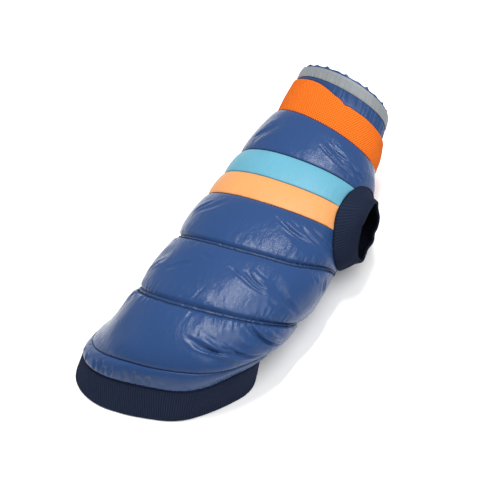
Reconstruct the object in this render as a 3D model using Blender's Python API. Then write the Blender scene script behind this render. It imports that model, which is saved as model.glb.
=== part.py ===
"""Quilted dog jacket, filled out with nobody in it and resting on its belly panel.

The garment is one tube, described by a table of cross sections from the hem at the tail to the
top of the collar. A point of the tube is found from its run (how far up the back it lies from the
hem edge, in millimetres) and its angle round the tube (0 on the dog's right, 90 on the spine,
180 on the left, 270 under the belly). Every panel is a closed wall laid on that tube between two
runs and two angles, with the padding of its channels raised on the outer face only.
+Y points to the head, +X to the dog's right, and the floor is z = 0.
"""

from collections import namedtuple

import bpy
import numpy as np

# ---- driving sizes, in millimetres and degrees unless a name says otherwise ----
MM = 0.001
PLACE = np.array([8.1, -16.1, 0.0])  # moves the middle of the finished box over the origin

SEAM_GAP = 0.3  # between two sewn pieces
HEM_GAP = 1.1  # where the fine ribs of the hem meet the coarser panels
BELLY_SHORT_AT_HEM = 1.4
BELLY_SHORT_AT_NECK = 0.3
QUILT_WALL = 2.4  # shell, padding and lining where a seam pinches them
PLAIN_WALL = 2.2  # belly panel
KNIT_WALL = 2.0  # rib knit between two ribs
COLLAR_WALL = 2.2
TAPE_WALL = 1.0
TAPE_LIFT = 0.4  # clear of the collar below it
TAPE_WIDTH = 13
TAPE_BELOW_TOP = 3
RIB_PITCH = 2.7
RIB_HEIGHT = 0.7
CLOTH_TO_A_DEGREE = 1.6  # millimetres of cloth to a degree round the tube
SHARP_EDGE = 50  # edges that turn by more degrees than this stay crisp

Section = namedtuple(
    "Section",
    "name run belly_y belly_z spine_y spine_z half_width shift_x yaw square flare tuck tilt",
)
SECTIONS = [
    Section("hem_edge", 0, -102, 0, -233, 0, 100, -26, 20, 2.0, 10, 8, 0),
    Section("hem_seam", 45, -71, 0, -219, 43, 98, -26, 16, 2.25, 11, 10, 15),
    Section("seam_3", 77, -49, 0, -208, 71, 95, -14, 20, 2.2, 6, 8, 4),
    Section("seam_2", 152, -26, -6, -134, 100, 91, -4, 10, 2.4, 3, 0, 0),
    Section("seam_1", 245, 40, -6, -41, 108, 94, 0, 8, 2.4, 0, 0, 0),
    Section("peach_low", 320, 90, -6, 35, 110, 95, 0, 4, 2.3, 0, 0, 0),
    Section("peach_sky", 359, 120, -6, 74, 112, 94, 0, 2, 2.3, 0, 0, 0),
    Section("sky_top", 401, 150, -2, 115, 115, 91, -1, 0, 2.2, 0, 0, 0),
    Section("neck_seam", 468, 215, 20, 180, 123, 77, -4, -10, 2.1, 0, 0, 0),
    Section("band_top", 511, 252, 40, 218, 139, 70, -6, -12, 2.0, 0, 0, 0),
    Section("tape", 524, 262, 50, 228, 147, 69, -6, -12, 2.0, 0, 0, 0),
    Section("collar_top", 548, 279, 70, 244, 163, 67, -6, -12, 2.0, 0, 0, 0),
]
RUN = {row.name: row.run for row in SECTIONS}
FLARE_ANGLE = 152  # the hem spreads to a soft corner here, behind the left hip
FLARE_REACH = 58
TUCK_ANGLE = 40  # and is drawn in here, behind the right hip
TUCK_REACH = 46
TILT_LEFT = 0.5  # the rear rings dip on the left by this share of their lift on the right
SEAM_DROP = 21  # how far seam 3 sinks toward the hem on the left
DROP_ANGLE = 184
DROP_ABOVE = 68  # degrees over which it fades, up the back and under the body
DROP_BELOW = 40

# Armholes are ovals on the tube; the left one lies lower, pressed toward the floor. Each side
# seam leaves the hem at seam_angle and climbs to the armhole's rear end over SEAM_CLIMB.
Armhole = namedtuple(
    "Armhole", "side seam_angle middle_run front rear middle_angle above below flat"
)
ARMHOLE_RIGHT = Armhole("right", -24, 352, 74, 86, -2, 48, 32, 0.1)
ARMHOLE_LEFT = Armhole("left", 206, 352, 74, 86, 208, 33, 30, 0)
FLAT_SHARE = -0.6  # where an armhole's upper edge is flattened: its rear half
FLAT_REACH = 0.75
FRONT_SQUARE = 2.5  # the front half of an armhole is squarer than an ellipse, whose power is 2
ARMHOLE_HALF_DEPTH = 60  # millimetres of cloth from the middle of an armhole up to its edge
ARMHOLE_FADE = 0.25  # share of an armhole's size over which the padding thins beside it
ARMHOLE_ROWS = (0.03, 0.12, 0.27)  # shares of its length where rows crowd, so its ends stay round
ROW_SPACING = 2  # no two rows lie closer than this
SEAM_CLIMB = 120

# Cuffs end in a round opening, the left one pressed flatter; axis points out of it. Between the
# armhole and the opening a cuff swells outward, and is sunk instead round its front end.
CUFF_GAP = 1.2  # between a cuff and the armhole it fills
CUFF_LIP = 1.5  # how far the seam allowance stands up before the cuff turns outward
CUFF_FULLNESS = 1.12  # girth of a cuff's middle against that of its opening
Cuff = namedtuple("Cuff", "name armhole centre half_length half_height axis swell sunk")
CUFFS = [
    Cuff("cuff_right", ARMHOLE_RIGHT, (109, 84, 74), 35, 34.5, (0.98, 0.02, 0.05), 5, 11),
    Cuff("cuff_left", ARMHOLE_LEFT, (-90, 108, 25), 38, 23, (-0.88, 0.12, -0.46), 1, 0),
]
SUNK_TURN = 10  # degrees round the cuff from its front end
SUNK_REACH = 70
# The right cuff's opening is out of round: about each turn it stands out by so much.
Sway = namedtuple("Sway", "turn reach out")
RIM_SWAYS = [
    Sway(118, 50, 3.5),
    Sway(238, 26, 4.5),
]

# One row for each padded channel: where it starts and ends, how far its padding stands up, and
# the share of that which is left on the dog's left.
Channel = namedtuple("Channel", "start end puff left")
CHANNELS = [
    Channel(RUN["hem_seam"], RUN["seam_3"], 4.0, 0.25),
    Channel(RUN["seam_3"], RUN["seam_2"], 6.5, 1),
    Channel(RUN["seam_2"], RUN["seam_1"], 7.0, 1),
    Channel(RUN["seam_1"], RUN["peach_low"], 6.0, 1),
    Channel(RUN["peach_low"], RUN["peach_sky"], 3.5, 1),
    Channel(RUN["peach_sky"], RUN["sky_top"], 3.5, 1),
    Channel(RUN["sky_top"], RUN["neck_seam"], 5.0, 1),
]
PUFF_ROUNDNESS = 0.62  # 1 would be a parabola, less is a flatter top with steeper sides
THIN_ANGLE = 188
THIN_REACH = 48
SIDE_FADE = 16  # degrees over which the padding thins out beside a side seam or an armhole

# The largest folds: soft troughs pressed into the padding from one end to the other.
Fold = namedtuple("Fold", "start_run start_angle end_run end_angle width depth")
FOLDS = [
    Fold(142, 62, 112, 26, 7, 3.2),  # pinch under seam 2 on the right flank
    Fold(128, 74, 98, 44, 7, 2.4),
    Fold(112, 88, 90, 60, 6, 2.4),  # folds above the hem
    Fold(215, 66, 180, 34, 8, 2.6),  # drag lines from the cuff toward the flank
    Fold(300, 74, 268, 46, 8, 2.4),
    Fold(452, 74, 412, 48, 8, 2.6),  # shoulder
    Fold(212, 138, 190, 160, 9, 2.2),  # left flank
    Fold(118, 128, 96, 150, 9, 2.2),
    Fold(440, 118, 415, 142, 8, 2.2),
]

# The neck band is a soft roll, fullest below its middle; its edge rides up behind the left
# shoulder and dips on the right. The collar is highest on the right.
BAND_ROLL = 3.6
ROLL_LEAN = 0.8
ROLL_END = 0.8
BAND_RISE = 7
BAND_RISE_ANGLE = 150
BAND_RISE_REACH = 75
BAND_DIP = 2
BAND_DIP_ANGLE = 66
BAND_DIP_REACH = 30
COLLAR_RUN = 540
COLLAR_TILT = 5
COLLAR_HIGH_ANGLE = 20

GATHERS = 26  # crinkles round the elastic top of the collar
GATHER_DEPTH = 1.1
GATHER_GROWTH = 1.5
GATHER_DRIFT = 0.6  # unevenness of their spacing, in DRIFT_WAVES waves round the collar
DRIFT_WAVES = 5


# ---- the tube ----
def smooth_through(knots, values, at):
    """A smooth curve through a table's rows that never overshoots between them."""
    step = np.diff(knots)
    slope = np.diff(values) / step
    tangent = np.zeros(len(knots))
    tangent[0] = slope[0]
    tangent[-1] = slope[-1]
    for i in range(1, len(knots) - 1):
        if slope[i - 1] * slope[i] > 0:
            before = 2 * step[i] + step[i - 1]
            after = step[i] + 2 * step[i - 1]
            tangent[i] = (before + after) / (before / slope[i - 1] + after / slope[i])
    k = np.clip(np.searchsorted(knots, at, side="right") - 1, 0, len(knots) - 2)
    t = (at - knots[k]) / step[k]
    rise = t * t * (3 - 2 * t)
    bend = t * (1 - t) ** 2 * tangent[k] + t * t * (t - 1) * tangent[k + 1]
    return (1 - rise) * values[k] + rise * values[k + 1] + bend * step[k]


def section_at(run):
    """Every column of SECTIONS at these runs."""
    knots = np.array([row.run for row in SECTIONS], float)
    columns = {}
    for name in Section._fields[2:]:
        values = np.array([getattr(row, name) for row in SECTIONS], float)
        columns[name] = smooth_through(knots, values, run)
    return columns


def hump(distance):
    """1 at the middle, easing to 0 at a distance of 1 either way."""
    return np.where(np.abs(distance) < 1, 0.5 + 0.5 * np.cos(np.pi * distance), 0)


def turned(points, yaw):
    """Points turned about the vertical."""
    c = np.cos(np.radians(yaw))
    s = np.sin(np.radians(yaw))
    x = points[..., 0] * c - points[..., 1] * s
    y = points[..., 0] * s + points[..., 1] * c
    return np.stack([x, y, points[..., 2]], -1)


def seam_drop(run, angle):
    """How far the cloth between the hem seam and seam 2 slides to the hem, most along seam 3."""
    below = (run - RUN["hem_seam"]) / (RUN["seam_3"] - RUN["hem_seam"])
    above = (RUN["seam_2"] - run) / (RUN["seam_2"] - RUN["seam_3"])
    share = np.clip(np.minimum(below, above), 0, 1)
    away = angle - DROP_ANGLE
    return SEAM_DROP * share * hump(away / np.where(away > 0, DROP_BELOW, DROP_ABOVE))


def skin(run, angle):
    """Points of the outer face where seams hold it down, flattened on the floor."""
    run, angle = np.broadcast_arrays(np.asarray(run, float), np.asarray(angle, float))
    row = section_at(run - seam_drop(run, angle))
    c = np.cos(np.radians(angle))
    s = np.sin(np.radians(angle))
    power = 2 / row["square"]
    across = np.sign(c) * np.abs(c) ** power * row["half_width"]
    up = np.sign(s) * np.abs(s) ** power
    back = (row["spine_y"] - row["belly_y"]) / 2
    rise = (row["spine_z"] - row["belly_z"]) / 2
    reach = np.hypot(back, rise)
    corner = hump((angle - FLARE_ANGLE) / FLARE_REACH) * row["flare"]
    corner = corner - hump((angle - TUCK_ANGLE) / TUCK_REACH) * row["tuck"]
    x = across + corner * c
    y = up * back + corner * s * back / reach
    tilt = row["tilt"] * np.where(c > 0, 1, -TILT_LEFT)
    z = up * rise + corner * s * rise / reach + tilt * c * c
    points = turned(np.stack([x, y, z], -1), row["yaw"])
    points[..., 0] += row["shift_x"]
    points[..., 1] += (row["spine_y"] + row["belly_y"]) / 2
    points[..., 2] += (row["spine_z"] + row["belly_z"]) / 2
    points[..., 2] = np.maximum(points[..., 2], 0)
    return points


def skin_normal(run, angle):
    along = skin(run + 1.0, angle) - skin(run - 1.0, angle)
    around = skin(run, angle + 1.0) - skin(run, angle - 1.0)
    normal = np.cross(along, around)
    return normal / np.linalg.norm(normal, axis=-1, keepdims=True)


def layer(run, angle, height):
    """Points at a height above the skin, never below the floor."""
    points = skin(run, angle) + skin_normal(run, angle) * np.asarray(height)[..., None]
    points[..., 2] = np.maximum(points[..., 2], 0)
    return points


# ---- padding ----
def side_seam(hole, run):
    """The angle of a side seam at these runs."""
    share = np.clip((run - hole.middle_run + hole.rear) / SEAM_CLIMB + 1, 0, 1)
    eased = share * share * (3 - 2 * share)
    return hole.seam_angle + (hole.middle_angle - hole.seam_angle) * eased


def run_share(hole, run):
    """How far along an armhole a run lies: -1 at its rear end, 1 at its front end."""
    away = run - hole.middle_run
    return away / np.where(away > 0, hole.front, hole.rear)


def oval_power(share):
    return np.where(share > 0, FRONT_SQUARE, 2.0)


def upper_reach(hole, share):
    """Degrees from an armhole's middle line up to its oval, before the oval narrows."""
    return hole.above * (1 - hole.flat * hump((share - FLAT_SHARE) / FLAT_REACH))


def armhole_share(hole, run, angle):
    """How far a point is from the middle of an armhole: 1 on its edge."""
    turn = angle - hole.middle_angle
    if hole.side == "left":
        turn = -turn
    along = run_share(hole, run)
    across = turn / np.where(turn > 0, upper_reach(hole, along), hole.below)
    power = oval_power(along)
    return (np.abs(along) ** power + np.abs(across) ** power) ** (1 / power)


def fold_depth(run, angle):
    """How deep the folds press the padding in at these points."""
    depth = np.zeros(np.shape(run + angle))
    for fold in FOLDS:
        across = (fold.end_angle - fold.start_angle) * CLOTH_TO_A_DEGREE
        length = np.hypot(fold.end_run - fold.start_run, across)
        a = (run - fold.start_run) * (fold.end_run - fold.start_run)
        b = (angle - fold.start_angle) * CLOTH_TO_A_DEGREE * across
        share = (a + b) / length**2
        off_run = run - fold.start_run - share * (fold.end_run - fold.start_run)
        off_turn = (angle - fold.start_angle) * CLOTH_TO_A_DEGREE - share * across
        away = np.hypot(off_run, off_turn) / fold.width
        depth = depth + fold.depth * hump(away) * hump(np.clip(2 * share - 1, -1, 1))
    return depth


def padding(run, angle):
    """Height of the quilting above the skin: full between seams, nothing on them."""
    run, angle = np.broadcast_arrays(np.asarray(run, float), np.asarray(angle, float))
    height = np.zeros(run.shape)
    for channel in CHANNELS:
        t = np.clip((run - channel.start) / (channel.end - channel.start), 0, 1)
        kept = 1 - (1 - channel.left) * hump((angle - THIN_ANGLE) / THIN_REACH)
        height = height + channel.puff * kept * (4 * t * (1 - t)) ** PUFF_ROUNDNESS
    right = (angle - side_seam(ARMHOLE_RIGHT, run)) / SIDE_FADE
    left = (side_seam(ARMHOLE_LEFT, run) - angle) / SIDE_FADE
    edge = np.minimum(right, left)
    for hole in (ARMHOLE_RIGHT, ARMHOLE_LEFT):
        edge = np.minimum(edge, (armhole_share(hole, run, angle) - 1) / ARMHOLE_FADE)
    fade = np.sqrt(np.clip(edge, 0, 1))
    return np.maximum(height * fade - fold_depth(run, angle) * fade, 0)


# ---- boundaries of the panels ----
def panel_edge(hole, run, upper):
    """The angle where a panel stops beside an armhole, or at its side seam past the ends."""
    share = run_share(hole, run)
    if abs(share) >= 1:
        return side_seam(hole, run)
    power = oval_power(share)
    reach = (1 - np.abs(share) ** power) ** (1 / power)
    reach = reach * (upper_reach(hole, share) if upper else -hole.below)
    return hole.middle_angle + (reach if hole.side == "right" else -reach)


# ---- closed walls ----
def zip_strip(first, second):
    """Triangles between two open rows of points, whatever their counts."""
    faces = []
    i = 0
    j = 0
    last_i = len(first) - 1
    last_j = len(second) - 1
    while i < last_i or j < last_j:
        if j == last_j or (i < last_i and (i + 0.5) * last_j <= (j + 0.5) * last_i):
            faces.append((first[i], first[i + 1], second[j]))
            i += 1
        else:
            faces.append((first[i], second[j + 1], second[j]))
            j += 1
    return faces


def grid_faces(ids, flip):
    """Quads over a grid of point numbers."""
    faces = []
    for i in range(ids.shape[0] - 1):
        for j in range(ids.shape[1] - 1):
            quad = (ids[i, j], ids[i + 1, j], ids[i + 1, j + 1], ids[i, j + 1])
            faces.append(quad[::-1] if flip else quad)
    return faces


def side_faces(outer, inner):
    """Triangles down one side of a panel, split alike on both panels of a seam."""
    faces = []
    for i in range(len(outer) - 1):
        faces.append((outer[i], outer[i + 1], inner[i + 1]))
        faces.append((outer[i], inner[i + 1], inner[i]))
    return faces


def make_object(name, points, faces, finish):
    mesh = bpy.data.meshes.new(name)
    placed = (np.asarray(points) + PLACE) * MM
    mesh.from_pydata(placed.tolist(), [], [tuple(int(n) for n in f) for f in faces])
    mesh.validate()
    mesh.shade_smooth()
    mesh.set_sharp_from_angle(angle=np.radians(SHARP_EDGE))
    mesh.materials.append(finish)
    obj = bpy.data.objects.new(name, mesh)
    bpy.context.scene.collection.objects.link(obj)
    return obj


def wall_solid(name, outer, inner, finish, tube=False):
    """A wall between outer and inner points: rows along the run, whose counts round may differ."""
    rows, wide = outer.shape[:2]
    out_ids = np.arange(rows * wide).reshape(rows, wide)
    in_ids = np.arange(rows * inner.shape[1]).reshape(rows, -1) + rows * wide
    if tube:
        out_ids = np.concatenate([out_ids, out_ids[:, :1]], 1)
        in_ids = np.concatenate([in_ids, in_ids[:, :1]], 1)
    faces = grid_faces(out_ids, False) + grid_faces(in_ids, True)
    faces += [f[::-1] for f in zip_strip(list(in_ids[0]), list(out_ids[0]))]
    faces += zip_strip(list(in_ids[-1]), list(out_ids[-1]))
    if not tube:
        faces += [f[::-1] for f in side_faces(out_ids[:, 0], in_ids[:, 0])]
        faces += side_faces(out_ids[:, -1], in_ids[:, -1])
    points = np.concatenate([outer.reshape(-1, 3), inner.reshape(-1, 3)])
    return make_object(name, points, faces, finish)


# ---- stations along the runs ----
def spread(start, end, count):
    return list(np.linspace(start, end, count + 1))


Stretch = namedtuple("Stretch", "name start end rows")
BACK_STRETCHES = [
    Stretch("back_quilted", RUN["hem_seam"], RUN["seam_3"], 4),
    Stretch("back_quilted", RUN["seam_3"], RUN["seam_2"], 7),
    Stretch("back_quilted", RUN["seam_2"], RUN["seam_1"], 8),
    Stretch("back_quilted", RUN["seam_1"], RUN["peach_low"], 7),
    Stretch("stripe_peach", RUN["peach_low"], RUN["peach_sky"], 4),
    Stretch("stripe_sky", RUN["peach_sky"], RUN["sky_top"], 4),
    Stretch("yoke", RUN["sky_top"], RUN["neck_seam"], 7),
]
BACK_COLUMNS = 32
BELLY_COLUMNS = 16
CLOSED_TUBE_COLUMNS = 48


def stations(name):
    """Runs of one back panel's rows, with its two ends drawn in by half a seam gap."""
    runs = []
    for stretch in BACK_STRETCHES:
        if stretch.name == name:
            runs += spread(stretch.start, stretch.end, stretch.rows)
    runs = sorted(set(runs) | {run for run in armhole_runs() if min(runs) < run < max(runs)})
    runs = thinned(runs)
    runs[0] += SEAM_GAP / 2
    runs[-1] -= SEAM_GAP / 2
    if name == "back_quilted":
        runs.insert(1, runs[0] + BELLY_SHORT_AT_HEM)  # a corner for the belly panel to meet
    return np.array(runs)


def armhole_runs():
    """Extra rows just past each end of the armholes, so that their ovals stay round."""
    hole = ARMHOLE_RIGHT
    rear = [hole.middle_run - hole.rear * (1 - share) for share in ARMHOLE_ROWS]
    front = [hole.middle_run + hole.front * (1 - share) for share in ARMHOLE_ROWS]
    ends = [hole.middle_run - hole.rear, hole.middle_run + hole.front]
    return rear + front + ends


def thinned(runs):
    """Drops a row that lies too close to the one before it, and keeps both ends."""
    kept = [runs[0]]
    for run in runs[1:-1]:
        if run - kept[-1] > ROW_SPACING and runs[-1] - run > ROW_SPACING:
            kept.append(run)
    return kept + [runs[-1]]


# ---- pieces ----
def material(name, colour, roughness, metallic=0.0):
    made = bpy.data.materials.new(name)
    made.use_nodes = True
    shader = made.node_tree.nodes["Principled BSDF"]
    shader.inputs["Base Color"].default_value = (*colour, 1)
    shader.inputs["Roughness"].default_value = roughness
    shader.inputs["Metallic"].default_value = metallic
    return made


def seam_inset(run, angle):
    """The turn that draws a panel's edge in by half a seam gap."""
    step = np.linalg.norm(skin(run, angle + 1) - skin(run, angle - 1), axis=-1) / 2
    return SEAM_GAP / 2 / step


def between(run, start, end, count):
    """Angles from one edge to the other for every row, drawn in at both."""
    start = np.array(start) + seam_inset(run, np.array(start))
    end = np.array(end) - seam_inset(run, np.array(end))
    return start[:, None] + (end - start)[:, None] * np.linspace(0, 1, count + 1)


def panel_points(run, angle, height, wall):
    """A panel's outer points, and half as many to a row on its plain inside."""
    run = np.broadcast_to(run[:, None], angle.shape)
    outer = layer(run, angle, height)
    inner = layer(run, angle, np.full(run.shape, -wall))[:, ::2]
    return outer, inner


def make_back_panel(name, finish):
    run = stations(name)
    right = [panel_edge(ARMHOLE_RIGHT, r, True) for r in run]
    left = [panel_edge(ARMHOLE_LEFT, r, True) for r in run]
    angle = between(run, right, left, BACK_COLUMNS)
    outer, inner = panel_points(run, angle, padding(run[:, None], angle), QUILT_WALL)
    return wall_solid(name, outer, inner, finish)


def make_belly_panel(finish):
    names = ("back_quilted", "stripe_peach", "stripe_sky", "yoke")
    run = np.array(thinned(sorted(run for name in names for run in stations(name))))
    run[0] += BELLY_SHORT_AT_HEM
    run[-1] -= BELLY_SHORT_AT_NECK
    left = [panel_edge(ARMHOLE_LEFT, r, False) for r in run]
    right = [panel_edge(ARMHOLE_RIGHT, r, False) + 360 for r in run]
    angle = between(run, left, right, BELLY_COLUMNS)
    outer, inner = panel_points(run, angle, np.zeros(angle.shape), PLAIN_WALL)
    return wall_solid("belly_panel", outer, inner, finish)


def band_top_run(angle):
    """The neck band's upper edge."""
    rise = BAND_RISE * hump((angle - BAND_RISE_ANGLE) / BAND_RISE_REACH)
    dip = BAND_DIP * hump((angle - BAND_DIP_ANGLE) / BAND_DIP_REACH)
    return RUN["band_top"] + rise - dip


def collar_top_run(angle):
    return COLLAR_RUN + COLLAR_TILT * np.cos(np.radians(angle - COLLAR_HIGH_ANGLE))


def closed_angles(count):
    return np.arange(count) * 360 / count


def run_grid(low, high, rows):
    """Runs from a lower to an upper edge, a row for each share."""
    return low + (high - low) * np.linspace(0, 1, rows + 1)[:, None]


def band_height(share):
    """The neck band stands proud of the collar above it."""
    return BAND_ROLL * np.sin(np.pi * np.clip(share, 0, 1) ** ROLL_LEAN * ROLL_END)


def make_neck_band(finish):
    rows = 5
    angle = closed_angles(CLOSED_TUBE_COLUMNS)
    run = run_grid(RUN["neck_seam"] + SEAM_GAP / 2, band_top_run(angle) - SEAM_GAP / 2, rows)
    angle = np.broadcast_to(angle, run.shape)
    share = np.linspace(0, 1, rows + 1)[:, None]
    outer = layer(run, angle, np.broadcast_to(band_height(share), run.shape))
    inner = layer(run, angle, np.full(run.shape, -KNIT_WALL))
    return wall_solid("neck_band", outer, inner, finish, tube=True)


def collar_height(run, angle):
    """Crinkles drawn up by the elastic, growing toward the top edge of the collar."""
    share = (run - RUN["band_top"]) / (collar_top_run(angle) - RUN["band_top"])
    drift = GATHER_DRIFT * np.sin(np.radians(angle * DRIFT_WAVES))
    wave = np.cos(np.radians(angle) * GATHERS + drift)
    return GATHER_DEPTH * wave * np.clip(share, 0, 1) ** GATHER_GROWTH


def make_collar(finish):
    rows = 4
    angle = closed_angles(GATHERS * 4)
    low = band_top_run(angle) + SEAM_GAP / 2
    run = run_grid(low, collar_top_run(angle), rows)
    angle = np.broadcast_to(angle, run.shape)
    outer = layer(run, angle, collar_height(run, angle))
    inner_angle = closed_angles(GATHERS * 2)
    low = band_top_run(inner_angle) + SEAM_GAP / 2
    run = run_grid(low, collar_top_run(inner_angle), rows)
    inner_angle = np.broadcast_to(inner_angle, run.shape)
    inner = layer(run, inner_angle, np.full(run.shape, -COLLAR_WALL))
    return wall_solid("collar", outer, inner, finish, tube=True)


def make_tape(finish):
    """The grey band is made from the collar's own outer points, moved out."""
    rows = 1
    angle = closed_angles(GATHERS * 4)
    top = collar_top_run(angle) - TAPE_BELOW_TOP
    run = run_grid(top - TAPE_WIDTH, top, rows)
    angle = np.broadcast_to(angle, run.shape)
    height = collar_height(run, angle) + TAPE_LIFT
    outer = layer(run, angle, height + TAPE_WALL)
    inner = layer(run, angle, height)
    return wall_solid("reflective_tape", outer, inner, finish, tube=True)


def ribs(count):
    """Heights of the ribs over a run of points, alternately on a rib and in a groove."""
    return np.where(np.arange(count) % 2 == 0, RIB_HEIGHT, 0.0)


def make_hem_band(finish):
    rows = 2
    coarse = 5  # outer points to one inner point
    points = 2 * round(ring_length(RUN["hem_seam"] / 2) / RIB_PITCH / coarse) * coarse
    angle = even_angles(RUN["hem_seam"] / 2, points)
    run = run_grid(np.zeros(points), np.full(points, RUN["hem_seam"] - HEM_GAP), rows)
    height = np.broadcast_to(ribs(points), run.shape)
    outer = layer(run, np.broadcast_to(angle, run.shape), height)
    inner_run = run[:, ::coarse]
    inner_angle = np.broadcast_to(angle[::coarse], inner_run.shape)
    inner = layer(inner_run, inner_angle, np.full(inner_run.shape, -KNIT_WALL))
    return wall_solid("hem_band", outer, inner, finish, tube=True)


def ring_length(run):
    points = skin(run, np.arange(0, 361, 2.0))
    return np.linalg.norm(np.diff(points, axis=0), axis=1).sum()


def even_angles(run, count):
    """Angles that lie evenly spaced along the cloth round one ring."""
    angle = np.arange(0, 360.5, 1.0)
    points = skin(run, angle)
    gone = np.concatenate([[0], np.cumsum(np.linalg.norm(np.diff(points, axis=0), axis=1))])
    return np.interp(np.arange(count) * gone[-1] / count, gone, angle)


def armhole_ring(hole, turn, height, inset):
    """Points just inside an armhole's edge, at a height above the skin."""
    c = np.cos(np.radians(turn))
    s = np.sin(np.radians(turn))
    squared = 2 / oval_power(c)
    c = np.sign(c) * np.abs(c) ** squared
    s = np.sign(s) * np.abs(s) ** squared
    half_angle = np.where(s > 0, upper_reach(hole, c), hole.below)
    run = hole.middle_run + (np.where(c > 0, hole.front, hole.rear) - inset) * c
    away = half_angle * s * (1 - inset / ARMHOLE_HALF_DEPTH)
    angle = hole.middle_angle + (away if hole.side == "right" else -away)
    return layer(run, angle, np.full(run.shape, height))


def rim_ring(cuff, turn):
    """The cuff's round opening, its points in step with the armhole's."""
    axis = np.array(cuff.axis) / np.linalg.norm(cuff.axis)
    forward = np.array([0.0, 1.0, 0.0])
    forward -= axis * (forward @ axis)
    forward /= np.linalg.norm(forward)
    upward = np.array([0.0, 0.0, 1.0])
    upward = upward - axis * (upward @ axis) - forward * (upward @ forward)
    upward /= np.linalg.norm(upward)
    c = np.cos(np.radians(turn))[:, None]
    s = np.sin(np.radians(turn))[:, None]
    out = rim_sway(cuff, turn)[:, None]
    ring = (cuff.half_length + out) * c * forward + (cuff.half_height + out) * s * upward
    return np.array(cuff.centre) + ring


def rim_sway(cuff, turn):
    """How far a cuff's opening stands out from its oval at these turns."""
    out = np.zeros(np.shape(turn))
    if cuff.armhole.side == "right":
        for sway in RIM_SWAYS:
            away = (turn - sway.turn + 180) % 360 - 180
            out = out + sway.out * hump(away / sway.reach)
    return out


def cuff_swell(cuff, turn):
    """How far the middle of a cuff stands out sideways, a negative amount where it is sunk."""
    from_front = (turn + 180) % 360 - 180
    return cuff.swell - cuff.sunk * hump((from_front - SUNK_TURN) / SUNK_REACH)


def make_cuff(cuff, finish):
    coarse = 4  # outer points to one inner point
    rows = 2
    points = 2 * round(ring_around(cuff) / RIB_PITCH / coarse) * coarse
    way = -1 if cuff.armhole.side == "right" else 1
    turn = closed_angles(points) * way
    root = armhole_ring(cuff.armhole, turn, -QUILT_WALL, CUFF_GAP)
    lip = armhole_ring(cuff.armhole, turn, CUFF_LIP, CUFF_GAP)
    rim = rim_ring(cuff, turn)
    rings = [root, lip]
    for k in range(1, rows + 1):
        share = k / rows
        ring = lip + (rim - lip) * share
        ring[:, 0] -= cuff_swell(cuff, turn) * 4 * share * (1 - share) * way
        rings.append(ring)
    base = np.array(rings)
    around = np.roll(base, -1, 1) - np.roll(base, 1, 1)
    normal = np.cross(np.gradient(base, axis=0), around)
    normal /= np.linalg.norm(normal, axis=-1, keepdims=True)
    ribbed = np.array([0, 0] + [1] * rows)[:, None] * ribs(points)
    outer = base + normal * ribbed[..., None]
    inner = (base - normal * KNIT_WALL)[:, ::coarse]
    return wall_solid(cuff.name, outer, inner, finish, tube=True)


def ring_around(cuff):
    """Length round the middle of a cuff, a little wider than its rim."""
    return np.pi * (cuff.half_length + cuff.half_height) * CUFF_FULLNESS


def main():
    for old in list(bpy.data.objects):
        bpy.data.objects.remove(old)
    nylon = material("blue nylon", (0.042, 0.085, 0.235), 0.38)
    peach = material("peach nylon", (0.93, 0.51, 0.19), 0.45)
    sky = material("sky nylon", (0.21, 0.56, 0.76), 0.42)
    orange = material("orange mesh knit", (0.95, 0.22, 0.03), 0.75)
    tape = material("grey reflective tape", (0.33, 0.36, 0.37), 0.35)
    rib = material("navy rib knit", (0.018, 0.022, 0.045), 0.85)
    belly = material("blue lining", (0.035, 0.07, 0.19), 0.55)
    make_hem_band(rib)
    make_back_panel("back_quilted", nylon)
    make_back_panel("stripe_peach", peach)
    make_back_panel("stripe_sky", sky)
    make_back_panel("yoke", nylon)
    make_belly_panel(belly)
    make_neck_band(orange)
    make_collar(nylon)
    make_tape(tape)
    for cuff in CUFFS:
        make_cuff(cuff, rib)


main()
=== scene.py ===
"""Looks of the quilted dog jacket: padded nylon panels, rib-knit hem and cuffs, mesh neck band,
elasticated collar with a grey tape, and the white studio that it lies in.

Each piece is laid on the same tube as its solid. A point of the tube is found from its run (how
far up the back it lies from the hem edge, in millimetres) and its angle round the tube (0 on the
dog's right, 90 on the spine, 180 on the left, 270 under the belly).
"""

from collections import namedtuple

import bpy
import numpy as np
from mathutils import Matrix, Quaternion, Vector


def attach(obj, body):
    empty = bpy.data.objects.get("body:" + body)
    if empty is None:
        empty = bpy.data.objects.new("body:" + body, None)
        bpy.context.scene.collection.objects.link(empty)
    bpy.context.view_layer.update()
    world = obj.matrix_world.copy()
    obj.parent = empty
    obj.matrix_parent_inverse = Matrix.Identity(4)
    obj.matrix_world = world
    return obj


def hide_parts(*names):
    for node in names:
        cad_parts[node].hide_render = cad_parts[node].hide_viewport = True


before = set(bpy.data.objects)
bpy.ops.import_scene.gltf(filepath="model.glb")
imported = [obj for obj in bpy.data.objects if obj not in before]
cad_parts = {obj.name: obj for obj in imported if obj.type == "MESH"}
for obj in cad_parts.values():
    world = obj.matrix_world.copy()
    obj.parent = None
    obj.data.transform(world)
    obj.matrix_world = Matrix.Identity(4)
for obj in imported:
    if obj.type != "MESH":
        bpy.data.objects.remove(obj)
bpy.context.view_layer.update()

# ---- sizes shared with the solids, in millimetres and degrees ----
MM = 0.001
PLACE = np.array([8.1, -16.1, 0.0])
SEAM_GAP = 0.3
QUILT_WALL = 2.4
PLAIN_WALL = 2.2
KNIT_WALL = 2.0
COLLAR_WALL = 2.2
TAPE_WALL = 1.0
TAPE_LIFT = 0.4
TAPE_WIDTH = 13
TAPE_BELOW_TOP = 3
RIB_PITCH = 2.7
RIB_HEIGHT = 0.7

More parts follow.
